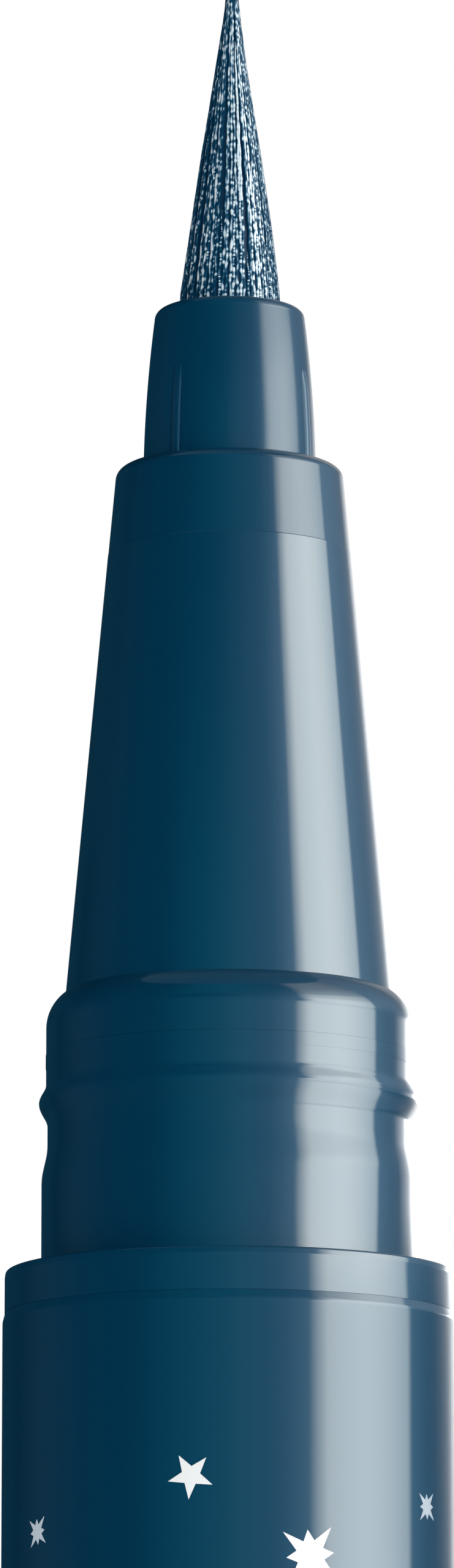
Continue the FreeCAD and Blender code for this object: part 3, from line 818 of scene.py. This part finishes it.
# grey card beside it, all but out of the barrel's reflections
card = dict(bands=[(-180, 0.0), (106, 0.0), (109, 0.13), (120, 0.12), (143, 0.06), (150, 0.03),
                   (180, 0.0)],
            tint="#A4B4C4",
            heights=[(-400, 0.5), (125, 0.5), (140, 0.12), (174, 0.12), (178, 0.55), (220, 0.6),
                     (290, 1.0), (900, 1.0)])
# white paper behind
paper = dict(bands=[(-180, 0.0), (126, 0.0), (133, 0.035), (141, 0.07), (146, 0.16), (150, 0.36),
                    (155, 0.6), (162, 0.66), (180, 0.55)],
             tint="#FFFFFF",
             heights=[(-400, 0.25), (125, 0.25), (140, 0.2), (178.5, 0.2), (181, 1.75), (197, 1.85),
                      (220, 0.25), (290, 0.05), (900, 0.07)])
# faint blue-green card in front, beside the camera
frontCard = dict(bands=[(-180, 0.0), (-48, 0.0), (-28, 0.022), (-10, 0.031), (5, 0.031), (20, 0.013),
                        (34, 0.008), (44, 0.0), (180, 0.0)],
                 tint="#40EEFF",
                 heights=[(-400, 1.0), (292, 1.0), (312, 0.35), (325, 0.1), (350, 0.05), (430, 0.9),
                          (900, 1.3)])


def emptyMaterial(name):
    material = bpy.data.materials.new(name)
    material.use_nodes = True
    material.node_tree.nodes.clear()
    return material, material.node_tree


def tentMaterial():
    material, tree = emptyMaterial("studioTent")
    place = addNode(tree, "ShaderNodeTexCoord")
    split = addNode(tree, "ShaderNodeSeparateXYZ", {"Vector": place.outputs["Object"]})
    back = addNode(tree, "ShaderNodeMath", {0: split.outputs["Y"]}, operation="MULTIPLY", inputs={1: -1.0})
    angle = addNode(tree, "ShaderNodeMath", {0: split.outputs["X"], 1: back.outputs[0]},
                    operation="ARCTAN2")
    rise = addNode(tree, "ShaderNodeMapRange", {"Value": split.outputs["Z"]},
                   inputs={"From Min": tent["foot"] * mm, "From Max": tent["top"] * mm})
    span = tent["top"] - tent["foot"]

    def halfByHeight(levels):
        # half of the value wanted at each height, as a colour ramp holds no more than 1
        ramp = addNode(tree, "ShaderNodeValToRGB", {"Fac": rise.outputs["Result"]},
                       stops=[((height - tent["foot"]) / span, [value / 2] * 3) for height, value in levels])
        return ramp.outputs["Color"]

    # the softbox isn't equally wide at all heights, nor at one azimuth
    width = addNode(tree, "ShaderNodeMath", {0: halfByHeight(softbox["narrowing"])},
                    operation="MULTIPLY", inputs={1: 2.0})
    middle, most = math.radians(softbox["middle"]), softbox["mostShift"]
    aside = addNode(tree, "ShaderNodeMath", {0: angle.outputs[0]}, operation="SUBTRACT",
                    inputs={1: middle + math.radians(most)})
    moved = addNode(tree, "ShaderNodeMath",
                    {0: halfByHeight([(z, 1 + shift / most) for z, shift in softbox["shift"]]),
                     2: aside.outputs[0]}, operation="MULTIPLY_ADD", inputs={1: 2 * math.radians(most)})
    turned = addNode(tree, "ShaderNodeMath", {0: moved.outputs[0], 1: width.outputs[0]},
                     operation="MULTIPLY_ADD", inputs={2: middle})
    share, plainShare = [addNode(tree, "ShaderNodeMapRange", {"Value": socket},
                                 inputs={"From Min": -math.pi, "From Max": math.pi})
                         for socket in (turned.outputs[0], angle.outputs[0])]
    parts = []
    for bandShare, part in ((share, softbox), (share, card), (plainShare, paper), (plainShare, frontCard)):
        stops = []
        for azimuth, level, *ownTint in part["bands"]:
            tint = colour(ownTint[0] if ownTint else part["tint"])[:3]
            stops.append((azimuth / 360 + 0.5, [v * level for v in tint]))
        band = addNode(tree, "ShaderNodeValToRGB", {"Fac": bandShare.outputs["Result"]}, stops=stops)
        strength = addNode(tree, "ShaderNodeMath", {0: halfByHeight(part["heights"])},
                           operation="MULTIPLY", inputs={1: tent["gain"] * 2})
        parts.append(addNode(tree, "ShaderNodeEmission", {"Color": band.outputs["Color"],
                                                          "Strength": strength.outputs[0]}))
    glow = parts[0]
    for part in parts[1:]:
        glow = addNode(tree, "ShaderNodeAddShader", {0: glow.outputs[0], 1: part.outputs[0]})
    addNode(tree, "ShaderNodeOutputMaterial", {"Surface": glow.outputs[0]})
    return material


def roofMaterial():
    # dim ceiling and floor of the tent
    material, tree = emptyMaterial("tentRoof")
    glow = addNode(tree, "ShaderNodeEmission", inputs={"Color": colour(tent["roof"])})
    addNode(tree, "ShaderNodeOutputMaterial", {"Surface": glow.outputs["Emission"]})
    return material


def studioTent():
    around = tent["around"]
    vertices, faces = [], []
    for k in range(around):
        a = 2 * math.pi * k / around
        for z in (tent["foot"], tent["top"]):
            vertices.append((tent["radius"] * math.cos(a), tent["radius"] * math.sin(a), z))
    for k in range(around):
        a, b = 2 * k, 2 * ((k + 1) % around)
        faces.append((a, a + 1, b + 1, b))
    faces += [range(0, 2 * around, 2), range(1, 2 * around, 2)]
    obj = newObject("studio_tent", vertices, faces, tentMaterial(), None)
    obj.data.materials.append(roofMaterial())
    for face in obj.data.polygons[-2:]:
        face.material_index = 1
    obj.visible_camera = obj.visible_diffuse = obj.visible_transmission = False
    obj.visible_shadow = obj.visible_volume_scatter = False
    return obj


studioTent()

# soft lamps for colour and shadow, aimed at the pen's middle; reflections come from the tent
lampAim = (0, 0, 90)
lamps = {
    "key": dict(place=(150, -440, 230), size=300, power=1.9),
    "fill": dict(place=(-460, 170, 110), size=400, power=1.6),
    "back": dict(place=(160, 460, 300), size=400, power=1.5),
}
for name, lamp in lamps.items():
    light = bpy.data.lights.new(name, "AREA")
    light.shape, light.size, light.energy = "DISK", lamp["size"] * mm, lamp["power"]
    obj = bpy.data.objects.new(name, light)
    obj.location = Vector(lamp["place"]) * mm
    aim = Vector(lampAim) * mm - obj.location
    obj.rotation_euler = aim.to_track_quat("-Z", "Y").to_euler()
    obj.visible_glossy = obj.visible_camera = False
    bpy.context.scene.collection.objects.link(obj)

# the world is white to camera, glossy and transmission rays alone, so it adds no soft light
world = bpy.data.worlds.new("studio")
bpy.context.scene.world = world
world.use_nodes = True
tree = world.node_tree
tree.nodes.clear()
path = addNode(tree, "ShaderNodeLightPath")
seen = addNode(tree, "ShaderNodeMath", {0: path.outputs["Is Camera Ray"], 1: path.outputs["Is Glossy Ray"]},
               operation="MAXIMUM")
seenToo = addNode(tree, "ShaderNodeMath", {0: seen.outputs[0], 1: path.outputs["Is Transmission Ray"]},
                  operation="MAXIMUM")
backdrop = addNode(tree, "ShaderNodeBackground", {"Strength": seenToo.outputs[0]},
                   inputs={"Color": (1, 1, 1, 1)})
addNode(tree, "ShaderNodeOutputWorld", {"Surface": backdrop.outputs["Background"]})

bpy.context.scene.view_settings.view_transform = "Standard"

# camera, solved from the photograph: near, 50 mm below the brush, looking up
camera = dict(place=(-0.067, -192.4, 99.54), pitch=10.48, lens=183.3, sensor=36, clipStart=10)
cameraData = bpy.data.cameras.new("camera")
cameraData.lens = camera["lens"]
cameraData.sensor_width = camera["sensor"]
cameraData.clip_start = camera["clipStart"] * mm
cameraObject = bpy.data.objects.new("camera", cameraData)
cameraObject.location = Vector(camera["place"]) * mm
cameraObject.rotation_euler = (math.radians(90 + camera["pitch"]), 0, 0)
bpy.context.scene.collection.objects.link(cameraObject)
bpy.context.scene.camera = cameraObject

print("finish")
